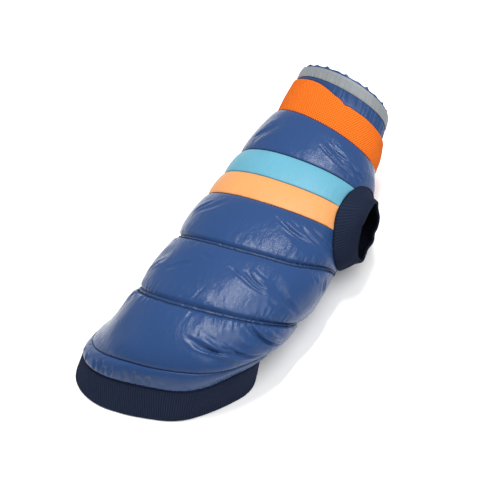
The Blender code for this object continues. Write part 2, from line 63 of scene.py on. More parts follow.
Section = namedtuple(
    "Section",
    "name run belly_y belly_z spine_y spine_z half_width shift_x yaw square flare tuck tilt",
)
SECTIONS = [
    Section("hem_edge", 0, -102, 0, -233, 0, 100, -26, 20, 2.0, 10, 8, 0),
    Section("hem_seam", 45, -71, 0, -219, 43, 98, -26, 16, 2.25, 11, 10, 15),
    Section("seam_3", 77, -49, 0, -208, 71, 95, -14, 20, 2.2, 6, 8, 4),
    Section("seam_2", 152, -26, -6, -134, 100, 91, -4, 10, 2.4, 3, 0, 0),
    Section("seam_1", 245, 40, -6, -41, 108, 94, 0, 8, 2.4, 0, 0, 0),
    Section("peach_low", 320, 90, -6, 35, 110, 95, 0, 4, 2.3, 0, 0, 0),
    Section("peach_sky", 359, 120, -6, 74, 112, 94, 0, 2, 2.3, 0, 0, 0),
    Section("sky_top", 401, 150, -2, 115, 115, 91, -1, 0, 2.2, 0, 0, 0),
    Section("neck_seam", 468, 215, 20, 180, 123, 77, -4, -10, 2.1, 0, 0, 0),
    Section("band_top", 511, 252, 40, 218, 139, 70, -6, -12, 2.0, 0, 0, 0),
    Section("tape", 524, 262, 50, 228, 147, 69, -6, -12, 2.0, 0, 0, 0),
    Section("collar_top", 548, 279, 70, 244, 163, 67, -6, -12, 2.0, 0, 0, 0),
]
RUN = {row.name: row.run for row in SECTIONS}
FLARE_ANGLE = 152
FLARE_REACH = 58
TUCK_ANGLE = 40
TUCK_REACH = 46
TILT_LEFT = 0.5
SEAM_DROP = 21
DROP_ANGLE = 184
DROP_ABOVE = 68
DROP_BELOW = 40

Armhole = namedtuple(
    "Armhole", "side seam_angle middle_run front rear middle_angle above below flat"
)
ARMHOLE_RIGHT = Armhole("right", -24, 352, 74, 86, -2, 48, 32, 0.1)
ARMHOLE_LEFT = Armhole("left", 206, 352, 74, 86, 208, 33, 30, 0)
FLAT_SHARE = -0.6
FLAT_REACH = 0.75
FRONT_SQUARE = 2.5
ARMHOLE_HALF_DEPTH = 60
ARMHOLE_FADE = 0.25
SEAM_CLIMB = 120

Cuff = namedtuple("Cuff", "name armhole centre half_length half_height axis swell sunk")
CUFFS = [
    Cuff("cuff_right", ARMHOLE_RIGHT, (109, 84, 74), 35, 34.5, (0.98, 0.02, 0.05), 5, 11),
    Cuff("cuff_left", ARMHOLE_LEFT, (-90, 108, 25), 38, 23, (-0.88, 0.12, -0.46), 1, 0),
]
CUFF_GAP = 1.2
CUFF_LIP = 1.5
SUNK_TURN = 10
SUNK_REACH = 70
Wave = namedtuple("Wave", "angle reach rise")
RIM_WAVES = [
    Wave(118, 50, 3.5), Wave(238, 26, 4.5),
    # small waves of the loose edge
    Wave(270, 16, -1.8), Wave(291, 12, 1.2), Wave(308, 14, -3.0), Wave(335, 18, 0.8),
    Wave(12, 32, -3.0), Wave(62, 18, 1.4),
]

Channel = namedtuple("Channel", "start end puff left")
CHANNELS = [
    Channel("hem_seam", "seam_3", 4.0, 0.25),
    Channel("seam_3", "seam_2", 6.5, 1),
    Channel("seam_2", "seam_1", 7.0, 1),
    Channel("seam_1", "peach_low", 6.0, 1),
    Channel("peach_low", "peach_sky", 3.5, 1),
    Channel("peach_sky", "sky_top", 3.5, 1),
    Channel("sky_top", "neck_seam", 5.0, 1),
]
PUFF_ROUNDNESS = 0.5
THIN_ANGLE = 188
THIN_REACH = 48
SIDE_FADE = 16

# ---- creases, pressed into the padding from one end to the other; a ridge has depth below 0 ----
Crease = namedtuple("Crease", "start_run start_angle end_run end_angle width depth")
CREASES = [
    Crease(*row)
    for row in (
        # the large folds of the solids
        (142, 62, 112, 26, 7, 2.0), (128, 74, 98, 44, 7, 1.0), (112, 88, 90, 60, 6, 0.8),
        (215, 66, 180, 34, 8, 1.4), (300, 74, 268, 46, 8, 1.2), (452, 74, 412, 48, 8, 1.4),
        (212, 138, 190, 160, 9, 1.4), (118, 128, 96, 150, 9, 0.6), (440, 118, 415, 142, 8, 1.6),
        # shoulder
        (441, 76, 431, 48, 2.3, 1.9), (446, 70, 438, 46, 2.4, -1.0), (433, 82, 414, 46, 2.5, 2.0),
        (431, 52, 420, 32, 2.8, 1.6), (424, 60, 409, 36, 2.4, 1.2),
        # between the peach stripe and seam 1
        (304, 86, 279, 53, 2.4, 2.2), (309, 82, 286, 56, 2.4, -1.0), (302, 66, 280, 42, 2.3, 1.8),
        (304, 58, 291, 32, 2.4, 2.0), (298, 40, 280, 22, 2.2, 1.3), (281, 143, 307, 116, 4, 1.0),
        # between seam 1 and seam 2
        (212, 91, 187, 60, 2.2, 2.3), (207, 87, 190, 64, 2.0, -1.4), (212, 82, 192, 61, 2.0, 1.9),
        (217, 80, 204, 66, 2.4, -1.0), (199, 52, 172, 20, 3.4, 2.0), (186, 58, 166, 34, 3.4, 1.0),
        (247, 38, 224, 25, 2.6, 1.5), (238, 20, 212, 4, 3.4, 1.6), (221, 111, 216, 102, 3, 1.0),
        # between seam 2 and seam 3
        (149, 64, 111, 18, 2.6, 3.6), (148, 48, 122, 18, 3.6, -1.8), (117, 93, 103, 57, 2.2, 3.3),
        (121, 84, 96, 33, 2.6, 2.3), (112, 90, 105, 73, 1.9, 2.3), (115, 69, 102, 50, 2.0, 2.4),
        (121, 88, 111, 66, 3.0, -1.5),
        # the left side, in the manner of the right
        (206, 108, 184, 132, 3, 1.5), (199, 138, 170, 160, 3.4, 1.6), (300, 128, 276, 152, 2.8, 1.5),
        (150, 148, 124, 168, 3, 1.9), (437, 122, 416, 146, 2.8, 1.4),
    )
]
# short puckers where the rib pulls on the hem seam
HEM_PUCKERS = [
    Crease(46, angle, 47 + length, angle + lean, 1.7, depth)
    for angle, length, lean, depth in (
        (172, 12, 3, 1.2), (160, 15, 4, 1.4), (148, 15, 6, 1.5), (136, 16, 8, 1.7),
        (131, 20, 9, 2.0), (127, 14, 7, 1.5), (122, 18, 9, 1.8), (112, 17, 8, 1.8),
        (106, 22, 10, 2.1), (101, 15, 8, 1.7), (95, 18, 9, 1.9), (88, 12, 5, 1.2),
        (76, 10, 3, 1.0), (60, 12, 0, 1.2), (44, 12, -2, 1.2), (28, 14, -4, 1.5),
    )
]


# ---- the tube ----
def eased(share):
    """A share from 0 to 1 that starts and stops gently."""
    return share * share * (3 - 2 * share)


def arch(share):
    """0 at both ends of a share, 1 at its middle."""
    return 4 * share * (1 - share)


def smooth_through(knots, values, at):
    """A smooth curve through a table's rows that never overshoots between them."""
    step = np.diff(knots)
    slope = np.diff(values) / step
    tangent = np.zeros(len(knots))
    tangent[0] = slope[0]
    tangent[-1] = slope[-1]
    for i in range(1, len(knots) - 1):
        if slope[i - 1] * slope[i] > 0:
            before = 2 * step[i] + step[i - 1]
            after = step[i] + 2 * step[i - 1]
            tangent[i] = (before + after) / (before / slope[i - 1] + after / slope[i])
    k = np.clip(np.searchsorted(knots, at, side="right") - 1, 0, len(knots) - 2)
    t = (at - knots[k]) / step[k]
    rise = eased(t)
    bend = t * (1 - t) ** 2 * tangent[k] + t * t * (t - 1) * tangent[k + 1]
    return (1 - rise) * values[k] + rise * values[k + 1] + bend * step[k]


def section_at(run):
    knots = np.array([row.run for row in SECTIONS], float)
    columns = {}
    for name in Section._fields[2:]:
        values = np.array([getattr(row, name) for row in SECTIONS], float)
        columns[name] = smooth_through(knots, values, run)
    return columns


def hump(distance):
    """1 at the middle, easing to 0 at a distance of 1 either way."""
    return np.where(np.abs(distance) < 1, 0.5 + 0.5 * np.cos(np.pi * distance), 0)


def wave_rise(waves, angle):
    """How far a table of waves rises at these angles."""
    rise = np.zeros(np.shape(angle))
    for wave in waves:
        away = (angle - wave.angle + 180) % 360 - 180
        rise = rise + wave.rise * hump(away / wave.reach)
    return rise


def seam_drop(run, angle):
    """How far the cloth between the hem seam and seam 2 slides to the hem, most along seam 3."""
    below = (run - RUN["hem_seam"]) / (RUN["seam_3"] - RUN["hem_seam"])
    above = (RUN["seam_2"] - run) / (RUN["seam_2"] - RUN["seam_3"])
    share = np.clip(np.minimum(below, above), 0, 1)
    away = angle - DROP_ANGLE
    return SEAM_DROP * share * hump(away / np.where(away > 0, DROP_BELOW, DROP_ABOVE))


def unit(vectors):
    return vectors / np.linalg.norm(vectors, axis=-1, keepdims=True)


def cos_sin(degrees):
    return np.cos(np.radians(degrees)), np.sin(np.radians(degrees))


def skin(run, angle):
    """Points of the outer face where seams hold it down, flattened on the floor."""
    run, angle = np.broadcast_arrays(np.asarray(run, float), np.asarray(angle, float))
    row = section_at(run - seam_drop(run, angle))
    c, s = cos_sin(angle)
    power = 2 / row["square"]
    across = np.sign(c) * np.abs(c) ** power * row["half_width"]
    up = np.sign(s) * np.abs(s) ** power
    back = (row["spine_y"] - row["belly_y"]) / 2
    rise = (row["spine_z"] - row["belly_z"]) / 2
    reach = np.hypot(back, rise)
    corner = hump((angle - FLARE_ANGLE) / FLARE_REACH) * row["flare"]
    corner = corner - hump((angle - TUCK_ANGLE) / TUCK_REACH) * row["tuck"]
    x = across + corner * c
    y = up * back + corner * s * back / reach
    tilt = row["tilt"] * np.where(c > 0, 1, -TILT_LEFT)
    z = up * rise + corner * s * rise / reach + tilt * c * c
    turn_c, turn_s = cos_sin(row["yaw"])
    points = np.stack([x * turn_c - y * turn_s, x * turn_s + y * turn_c, z], -1)
    points[..., 0] += row["shift_x"]
    points[..., 1] += (row["spine_y"] + row["belly_y"]) / 2
    points[..., 2] += (row["spine_z"] + row["belly_z"]) / 2
    points[..., 2] = np.maximum(points[..., 2], 0)
    return points


def skin_normal(run, angle):
    along = skin(run + 1.0, angle) - skin(run - 1.0, angle)
    around = skin(run, angle + 1.0) - skin(run, angle - 1.0)
    return unit(np.cross(along, around))


def layer(run, angle, height):
    """Points at a height above the skin, never below the floor."""
    points = skin(run, angle) + skin_normal(run, angle) * np.asarray(height)[..., None]
    points[..., 2] = np.maximum(points[..., 2], 0)
    return points


def side_seam(hole, run):
    """The angle of a side seam at these runs."""
    share = np.clip((run - hole.middle_run + hole.rear) / SEAM_CLIMB + 1, 0, 1)
    return hole.seam_angle + (hole.middle_angle - hole.seam_angle) * eased(share)


def run_share(hole, run):
    """How far along an armhole a run lies: -1 at its rear end, 1 at its front end."""
    away = run - hole.middle_run
    return away / np.where(away > 0, hole.front, hole.rear)


def oval_power(share):
    return np.where(share > 0, FRONT_SQUARE, 2.0)


def upper_reach(hole, share):
    """Degrees from an armhole's middle line up to its oval, before the oval narrows."""
    return hole.above * (1 - hole.flat * hump((share - FLAT_SHARE) / FLAT_REACH))


def armhole_share(hole, run, angle):
    """How far a point is from the middle of an armhole: 1 on its edge."""
    turn = angle - hole.middle_angle
    if hole.side == "left":
        turn = -turn
    along = run_share(hole, run)
    across = turn / np.where(turn > 0, upper_reach(hole, along), hole.below)
    power = oval_power(along)
    return (np.abs(along) ** power + np.abs(across) ** power) ** (1 / power)


def panel_edge(hole, run, upper):
    """The angles where a panel stops beside an armhole, or at its side seam past the ends."""
    share = run_share(hole, run)
    inside = np.abs(share) < 1
    power = oval_power(share)
    reach = np.clip(1 - np.abs(share) ** power, 0, 1) ** (1 / power)
    reach = reach * (upper_reach(hole, share) if upper else -hole.below)
    beside = hole.middle_angle + (reach if hole.side == "right" else -reach)
    return np.where(inside, beside, side_seam(hole, run))


# ---- uneven cloth ----
def cloth_noise(x, y, seed):
    """Smooth uneven heights from -1 to 1, with features about one unit across."""
    size = 64
    table = np.random.default_rng(seed).uniform(-1, 1, (size, size))
    i = np.floor(x).astype(int)
    j = np.floor(y).astype(int)
    u = eased(x - i)
    v = eased(y - j)
    near = table[i % size, j % size] * (1 - v) + table[i % size, (j + 1) % size] * v
    far = table[(i + 1) % size, j % size] * (1 - v) + table[(i + 1) % size, (j + 1) % size] * v
    return near * (1 - u) + far * u


Swell = namedtuple("Swell", "height along around seed")
PADDING_SWELLS = [Swell(0.8, 38, 46, 2), Swell(0.35, 15, 19, 4)]
BELLY_SWELLS = [Swell(0.5, 22, 30, 6), Swell(0.2, 8, 12, 8)]
HEM_SWELLS = [Swell(0.25, 14, 9, 21)]
NECK_SWELLS = [Swell(0.35, 17, 30, 31), Swell(0.15, 9, 9, 32)]


def swelling(swells, run, around):
    noises = [cloth_noise(run / row.along, around / row.around, row.seed) for row in swells]
    return sum(row.height * noise for row, noise in zip(swells, noises))


CLOTH_TO_A_DEGREE = 1.6  # millimetres of cloth to a degree round the body
CREASE_BOW = 0.06  # how far a crease bends sideways, as a share of its length
CREASE_TAPER = 0.45
CREASE_ROUNDNESS = 1.4
SHOULDER_HEIGHT = 0.45  # the cloth pushed up beside a crease, as a share of its depth
SHOULDER_AWAY = 1.6
SHOULDER_WIDTH = 0.7


def crease_height(run, angle, creases):
    height = np.zeros(np.shape(run))
    for crease in creases:
        across = (crease.end_angle - crease.start_angle) * CLOTH_TO_A_DEGREE
        along = crease.end_run - crease.start_run
        length = np.hypot(along, across)
        off_run = run - crease.start_run
        off_turn = (angle - crease.start_angle) * CLOTH_TO_A_DEGREE
        share = (off_run * along + off_turn * across) / length**2
        side = (off_run * across - off_turn * along) / length
        bend = CREASE_BOW * length * np.sin(np.pi * np.clip(share, 0, 1))
        away = (side - bend) / crease.width
        taper = hump(np.clip(2 * share - 1, -1, 1)) ** CREASE_TAPER
        beside = (np.abs(away) - SHOULDER_AWAY) / SHOULDER_WIDTH
        shoulders = SHOULDER_HEIGHT * np.exp(-(beside**2))
        trough = np.exp(-np.abs(away) ** CREASE_ROUNDNESS)
        height += crease.depth * taper * (shoulders - trough)
    return height


Seam = namedtuple("Seam", "name pucker pitch seed")
SEAMS = [
    Seam("hem_seam", 0.55, 7.0, 3),
    Seam("seam_3", 0.28, 6.0, 5),
    Seam("seam_2", 0.95, 5.0, 7),
    Seam("seam_1", 0.95, 5.0, 11),
    Seam("peach_low", 0.3, 9.0, 13),
    Seam("peach_sky", 0.12, 9.0, 17),
    Seam("sky_top", 0.25, 9.0, 19),
    Seam("neck_seam", 0.45, 8.0, 23),
]
DOUBLE_STITCHED = ("seam_2", "seam_1")  # these two have a second line below the first
SECOND_LINE = 4.6
STITCH_REACH = 4.2
FIRST_LINE_DEPTH = 1.5
SECOND_LINE_DEPTH = 2.6
BETWEEN_LINES = 0.9


CLIMB = 14
CLIMB_ANGLE = 5
CLIMB_REACH = 58
CLIMB_ALONG = 70


def seam_rise(run, angle):
    """How far seam 1 and the cloth beside it climb to the rear end of the right armhole."""
    turn = np.clip((angle - CLIMB_ANGLE) / CLIMB_REACH, 0, 1)
    return CLIMB * hump(turn) * hump((run - RUN["seam_1"]) / CLIMB_ALONG)


PUCKER_REACH = 5
PUCKER_LENGTH = 18
PUCKER_LEAN = 0.25
DRAWN = 0.6  # how strongly a stretch of seam is drawn up, and how much that varies
DRAWN_AROUND = 30
DRAWN_ALONG = 40
OTHER_SIDE = 31.7  # sets the puckers below a seam apart from those above it


def puckers(run, angle):
    """Small gathers that stand across each seam and die away from it."""
    height = np.zeros(np.shape(run))
    cloth = angle * CLOTH_TO_A_DEGREE
    for seam in SEAMS:
        away = run - RUN[seam.name]
        far = np.abs(away)
        envelope = (far / PUCKER_REACH) * np.exp(1 - far / PUCKER_REACH)
        side = np.where(away > 0, 0.0, OTHER_SIDE)
        lean = PUCKER_LEAN * away * np.where(angle > 90, 1, -1)
        across = (cloth + lean) / seam.pitch * 2 + side
        wave = cloth_noise(across, far / PUCKER_LENGTH + side, seam.seed)
        stretch = cloth_noise(cloth / DRAWN_AROUND + side, far / DRAWN_ALONG, seam.seed + 1)
        height += seam.pucker * envelope * wave * (DRAWN + DRAWN * stretch)
    return height


FULL_HEIGHT = 2.2  # padding this high takes creases and swells in full
LOWEST = -1.5
SWELL_GROWTH = 0.06
SWELL_HEIGHT = 0.35
PUCKERED_LEAST = 0.4  # the share of a hem pucker that is left where there is no padding


def padding(run, angle):
    """Height of the quilting above the skin, with its seams, puckers and creases."""
    height = np.zeros(np.shape(run))
    quilted = run - seam_rise(run, angle)
    for channel in CHANNELS:
        start = RUN[channel.start]
        t = np.clip((quilted - start) / (RUN[channel.end] - start), 0, 1)
        kept = 1 - (1 - channel.left) * hump((angle - THIN_ANGLE) / THIN_REACH)
        height += channel.puff * kept * arch(t) ** PUFF_ROUNDNESS
    for name in DOUBLE_STITCHED:
        below = RUN[name] - quilted
        between_lines = hump((below - SECOND_LINE / 2) / (SECOND_LINE / 2))
        height -= FIRST_LINE_DEPTH * hump(below / STITCH_REACH)
        height -= SECOND_LINE_DEPTH * hump((below - SECOND_LINE) / STITCH_REACH)
        height += BETWEEN_LINES * between_lines
    right = (angle - side_seam(ARMHOLE_RIGHT, run)) / SIDE_FADE
    left = (side_seam(ARMHOLE_LEFT, run) - angle) / SIDE_FADE
    edge = np.minimum(right, left)
    for hole in (ARMHOLE_RIGHT, ARMHOLE_LEFT):
        edge = np.minimum(edge, (armhole_share(hole, run, angle) - 1) / ARMHOLE_FADE)
    fade = np.sqrt(np.clip(edge, 0, 1))
    swell = swelling(PADDING_SWELLS, run, angle * CLOTH_TO_A_DEGREE)
    full = np.clip(height / FULL_HEIGHT, 0, 1)
    height = height * (1 + SWELL_GROWTH * swell) + swell * SWELL_HEIGHT * full
    height += crease_height(run, angle, CREASES) * np.sqrt(full)
    hem_share = PUCKERED_LEAST + (1 - PUCKERED_LEAST) * full
    height += crease_height(run, angle, HEM_PUCKERS) * hem_share
    height += puckers(quilted, angle)
    return np.maximum(height * fade, LOWEST)


# ---- meshes ----
def zip_strip(first, second):
    """Triangles between two open rows of points, whatever their counts."""
    faces = []
    i = 0
    j = 0
    last_i = len(first) - 1
    last_j = len(second) - 1
    while i < last_i or j < last_j:
        if j == last_j or (i < last_i and (i + 0.5) * last_j <= (j + 0.5) * last_i):
            faces.append((first[i], first[i + 1], second[j]))
            i += 1
        else:
            faces.append((first[i], second[j + 1], second[j]))
            j += 1
    return faces


def grid_quads(ids, flip):
    corners = [ids[:-1, :-1], ids[1:, :-1], ids[1:, 1:], ids[:-1, 1:]]
    if flip:
        corners = corners[::-1]
    return np.stack(corners, -1).reshape(-1, 4)


def numbered(grid, first=0):
    """A number for each point of a grid, counted from first."""
    rows, columns = grid.shape[:2]
    return np.arange(rows * columns).reshape(rows, columns) + first


def sewn_wall(name, outer, inner, cloth, inner_cloth, finish, tube=False, height=None):
    """A closed shell between outer and inner points, rows along the run.

    cloth and inner_cloth hold each point's place on the flat cloth in metres, as (around, run);
    on a tube they have one column more than the points. height is stored as the groove attribute,
    where the finishes paint shade, and on knit ribs a painted highlight too.
    """
    out_ids = numbered(outer)
    in_ids = numbered(inner, out_ids.size)
    if tube:
        out_ids = np.concatenate([out_ids, out_ids[:, :1]], 1)
        in_ids = np.concatenate([in_ids, in_ids[:, :1]], 1)
    out_places = numbered(cloth)
    in_places = numbered(inner_cloth, out_places.size)
    edges = [(0, True), (-1, False)]
    if not tube:
        edges += [(np.s_[:, 0], False), (np.s_[:, -1], True)]
    faces = grid_quads(out_ids, False).tolist() + grid_quads(in_ids, True).tolist()
    corners = grid_quads(out_places, False).tolist() + grid_quads(in_places, True).tolist()
    for edge, turned in edges:
        first = list(zip(in_ids[edge], in_places[edge]))
        second = list(zip(out_ids[edge], out_places[edge]))
        for triangle in zip_strip(first, second):
            order = triangle[::-1] if turned else triangle
            faces.append([int(point) for point, _ in order])
            corners.append([int(place) for _, place in order])
    points = np.concatenate([outer.reshape(-1, 3), inner.reshape(-1, 3)])
    mesh = bpy.data.meshes.new(name)
    mesh.from_pydata(((points + PLACE) * MM).tolist(), [], faces)
    places = np.concatenate([cloth.reshape(-1, 2), inner_cloth.reshape(-1, 2)])
    flat = np.concatenate([np.array(face) for face in corners])
    mesh.uv_layers.new(name="cloth").uv.foreach_set("vector", places[flat].ravel())
    # groove: the mask for painted shade in the nylon, and for painted shade and highlight on the
    # knit ribs
    if height is not None:
        stored = mesh.attributes.new("groove", "FLOAT", "POINT")
        values = np.zeros(len(points), np.float32)
        values[: height.size] = height.ravel()
        stored.data.foreach_set("value", values)
    return placed(name, mesh, finish)


SHARP_FROM = 60


def placed(name, mesh, finish):
    mesh.shade_smooth()
    mesh.set_sharp_from_angle(angle=np.radians(SHARP_FROM))
    mesh.materials.append(finish)
    obj = bpy.data.objects.new(name, mesh)
    bpy.context.scene.collection.objects.link(obj)
    return obj


def on_cloth(run, angle):
    """Places on the flat cloth in metres, for the finishes."""
    return np.stack([angle * CLOTH_TO_A_DEGREE * MM, run * MM], -1)


# ---- finishes ----
class Value:
    """A number that changes over a surface; arithmetic on it adds Math nodes."""

    def __init__(self, finish, socket):
        self.finish = finish
        self.socket = socket

    def __add__(self, other):
        return self.finish.math("ADD", self, other)

    def __sub__(self, other):
        return self.finish.math("SUBTRACT", self, other)

    def __mul__(self, other):
        return self.finish.math("MULTIPLY", self, other)

    def __truediv__(self, other):
        return self.finish.math("DIVIDE", self, other)

    __radd__ = __add__


class Finish:
    """One surface finish, built node by node on a Principled shader."""

    def __init__(self, name, specular, metallic=0.0):
        self.material = bpy.data.materials.new(name)
        self.material.use_nodes = True
        self.tree = self.material.node_tree
        self.shader = self.tree.nodes["Principled BSDF"]
        self.put(self.shader.inputs["Specular IOR Level"], specular)
        self.put(self.shader.inputs["Metallic"], metallic)

    def put(self, socket, value):
        if isinstance(value, Value):
            self.tree.links.new(value.socket, socket)
        else:
            socket.default_value = value

    def node(self, kind, settings=None, sockets=None, output=0):
        made = self.tree.nodes.new("ShaderNode" + kind)
        for key, value in (settings or {}).items():
            setattr(made, key, value)
        for key, value in (sockets or {}).items():
            self.put(made.inputs[key], value)
        return Value(self, made.outputs[output])

    def math(self, operation, *values):
        return self.node("Math", {"operation": operation}, dict(enumerate(values)))

    def wave(self, value):
        return self.math("SINE", value)

    def between(self, value, low, high):
        """0 below low, 1 above high, smooth between."""
        sockets = {"Value": value, "From Min": low, "From Max": high}
        return self.node("MapRange", {"interpolation_type": "SMOOTHSTEP"}, sockets)

    def noise(self, size, detail=2.0, place=None, seed=0.0):
        """Noise whose features are about this many metres across."""
        place = place or self.node("TexCoord", output="Object")
        sockets = {"Vector": place, "Scale": 1 / size, "Detail": detail, "W": seed}
        return self.node("TexNoise", {"noise_dimensions": "4D"}, sockets, "Fac")

    def cloth(self):
        """The place on the flat cloth: metres around, metres along the run."""
        place = self.node("UVMap", {"uv_map": "cloth"})
        across = self.node("SeparateXYZ", sockets={"Vector": place}, output="X")
        along = self.node("SeparateXYZ", sockets={"Vector": place}, output="Y")
        return across, along

    def mix(self, share, first, second):
        """One colour into another."""
        sockets = {"Factor": share, "A": colour(first), "B": colour(second)}
        return self.node("Mix", {"data_type": "RGBA"}, sockets, "Result")

    def ripple(self, value, pitch):
        """A wave that repeats after this many metres."""
        return self.wave(value * (2 * np.pi / pitch))

    def bump(self, height, distance):
        sockets = {"Height": height, "Distance": distance}
        self.put(self.shader.inputs["Normal"], self.node("Bump", sockets=sockets))

    def paint(self, base, roughness):
        self.put(self.shader.inputs["Base Color"], base)
        self.put(self.shader.inputs["Roughness"], roughness)
        return self.material


def colour(value):
    return value if isinstance(value, Value) else (*value, 1.0)


def shaded(rgb, factor):
    return tuple(min(channel * factor, 1.0) for channel in rgb)


WEAVE_PITCH = 0.0007
CRINKLE_WIDE = 0.006
CRINKLE_LONG = 0.017


def nylon(name, rgb, gloss):
    """Calendered nylon shell: soft broad highlights, fine crinkles, faint uneven dye, and painted
    shade where the groove attribute is high.
    """
    finish = Finish(name, 0.18)
    dye = finish.noise(0.05, 3)
    fine = finish.noise(0.006, 2, seed=3.0)
    base = finish.mix(dye, shaded(rgb, 0.9), shaded(rgb, 1.1))
    base = finish.mix(fine * 0.25, base, shaded(rgb, 0.85))
    across, along = finish.cloth()
    weave = finish.ripple(across, WEAVE_PITCH) * finish.ripple(along, WEAVE_PITCH)
    stretched = {"X": across / CRINKLE_WIDE, "Y": along / CRINKLE_LONG}
    stretched = finish.node("CombineXYZ", sockets=stretched)
    crinkle = finish.noise(1.0, 3, place=stretched, seed=7.0)
    # painted shade: the cloth is darkened where the groove attribute is high, in the seams' valleys
    # and on the collar under the neck band's lip
    groove = finish.node("Attribute", {"attribute_name": "groove"}, output="Fac")
    base = finish.mix(groove * 0.6, base, shaded(rgb, 0.3))
    finish.bump(crinkle * 0.75 + fine * 0.25 + weave * 0.02, 0.0008)
    return finish.paint(base, gloss + fine * 0.1 - dye * 0.04 + groove * 0.4)


KNIT_ROW = 0.0016
HALF_RIB = 0.00135


def rib_knit(name, rgb):
    """Rib knit: painted shade in the grooves and painted highlight on the ribs, a chain of small
    stitches along each rib, a little fluff.
    """
    finish = Finish(name, 0.08)
    across, along = finish.cloth()
    groove = finish.node("Attribute", {"attribute_name": "groove"}, output="Fac")
    fluff = finish.noise(0.0012, 3, seed=2.0)
    worn = finish.noise(0.03, 2, seed=5.0)
    chain = finish.ripple(across, HALF_RIB) * 1.2
    stitch = finish.wave(along * (2 * np.pi / KNIT_ROW) + chain)
    # painted shade and highlight: darker in the rib grooves, lighter on the ribs, mixed with the
    # fluff and stitch pattern
    tone = finish.between(groove + fluff * 0.35 + stitch * 0.08, 0.1, 1.1)
    base = finish.mix(tone, shaded(rgb, 0.5), shaded(rgb, 1.25))
    base = finish.mix(worn * 0.2, base, shaded(rgb, 1.6))
    finish.bump(stitch * 0.5 + fluff * 0.8, 0.0004)
    return finish.paint(base, 0.78 + fluff * 0.15)


MESH_PITCH = 0.004


def mesh_knit(name, rgb):
    """Orange mesh knit: rows of tiny round holes set slantwise, painted dark as the shade inside
    them.
    """
    finish = Finish(name, 0.02)
    across, along = finish.cloth()
    rows = finish.ripple(across, MESH_PITCH) * finish.ripple(along, MESH_PITCH)
    hole = finish.between(rows, 0.15, 0.6)
    fluff = finish.noise(0.0011, 3, seed=2.0)
    dye = finish.noise(0.05, 2)
    base = finish.mix(dye, shaded(rgb, 0.95), shaded(rgb, 1.04))
    # the holes are the knit's own pattern; their dark colour is painted shade inside them
    base = finish.mix(hole * 0.9, base, shaded(rgb, 0.4))
    finish.bump(fluff * 0.5 - hole * 0.9, 0.0004)
    return finish.paint(base, 0.7 + fluff * 0.15)


def glass_bead_tape(name, rgb):
    """Grey reflective tape: a fine even grain with a dull metallic sheen."""
    finish = Finish(name, 0.3, metallic=0.2)
    grain = finish.noise(0.0007, 2)
    worn = finish.noise(0.02, 3, seed=4.0)
    base = finish.mix(grain, shaded(rgb, 0.86), shaded(rgb, 1.12))
    base = finish.mix(worn * 0.2, base, shaded(rgb, 0.8))
    finish.bump(grain, 0.0002)
    return finish.paint(base, 0.42 + grain * 0.2)


def thread(name, rgb):
    finish = Finish(name, 0.1)
    twist = finish.noise(0.0006, 2)
    base = finish.mix(twist, shaded(rgb, 0.7), shaded(rgb, 1.3))
    finish.bump(twist, 0.0002)
    return finish.paint(base, 0.5 + twist * 0.1)


def studio_floor(name):
    finish = Finish(name, 0.1)
    grain = finish.noise(0.02, 2)
    base = finish.mix(grain, (0.9, 0.9, 0.9), (0.93, 0.93, 0.93))
    return finish.paint(base, 0.9 + grain * 0.05)


# ---- pieces ----
def worn(piece, node, slot, flat, held="stretched"):
    """Attaches a piece to the root body and hides the imported solid of its node."""
    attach(piece, "root")
    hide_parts(node)


ROWS_AT_RIM = (0.0, 0.08, 0.3, 0.7)
PANEL_STEP = 1.1
BELLY_STEP = 2.0
THINNER = 4  # the plain inside has one row and one column in this many


def panel_runs(start, end, step):
    """Rows along a panel, with a few more at the ends of the armholes."""
    runs = list(np.linspace(start, end, round((end - start) / step) + 1))
    for rim in (ARMHOLE_RIGHT.middle_run - ARMHOLE_RIGHT.rear,
                ARMHOLE_RIGHT.middle_run + ARMHOLE_RIGHT.front):
        inward = 1 if rim < ARMHOLE_RIGHT.middle_run else -1
        runs += [rim + inward * off for off in ROWS_AT_RIM if start < rim < end]
    return np.unique(np.round(runs, 3))


def seam_inset(run, angle):
    step = np.linalg.norm(skin(run, angle + 1) - skin(run, angle - 1), axis=-1) / 2
    return SEAM_GAP / 2 / step


def panel_angles(run, start, end, count):
    """Angles from one edge to the other for every row, drawn in by half a seam gap."""
    start = start + seam_inset(run, start)
    end = end - seam_inset(run, end)
    return start[:, None] + (end - start)[:, None] * np.linspace(0, 1, count + 1)


def thinned(runs):
    """One row in a few, and both ends."""
    return np.append(runs[:-1:THINNER], runs[-1])


def panel_grid(runs, columns, upper):
    """Runs and angles between the side edges of the back, or else of the belly."""
    right = panel_edge(ARMHOLE_RIGHT, runs, upper)
    left = panel_edge(ARMHOLE_LEFT, runs, upper)
    start, end = (right, left) if upper else (left, right + 360)
    angle = panel_angles(runs, start, end, columns)
    return np.broadcast_to(runs[:, None], angle.shape), angle


def sewn_panel(name, grid, height, plain_grid, wall, finish, shade=None):
    """A panel with its outer face at a height and a plain inner face."""
    outer = layer(*grid, height)
    inner = layer(*plain_grid, np.full(plain_grid[0].shape, -wall))
    return sewn_wall(name, outer, inner, on_cloth(*grid), on_cloth(*plain_grid), finish,
                     height=shade)


def back_panel(name, start, end, columns, finish):
    runs = panel_runs(start + SEAM_GAP / 2, end - SEAM_GAP / 2, PANEL_STEP)
    run, angle = panel_grid(runs, columns, True)
    plain_grid = panel_grid(thinned(runs), columns // THINNER, True)
    # painted shade along the seams, stored for the nylon finish
    shade = seam_shade(run - seam_rise(run, angle))
    return sewn_panel(name, (run, angle), padding(run, angle), plain_grid, QUILT_WALL, finish, shade)


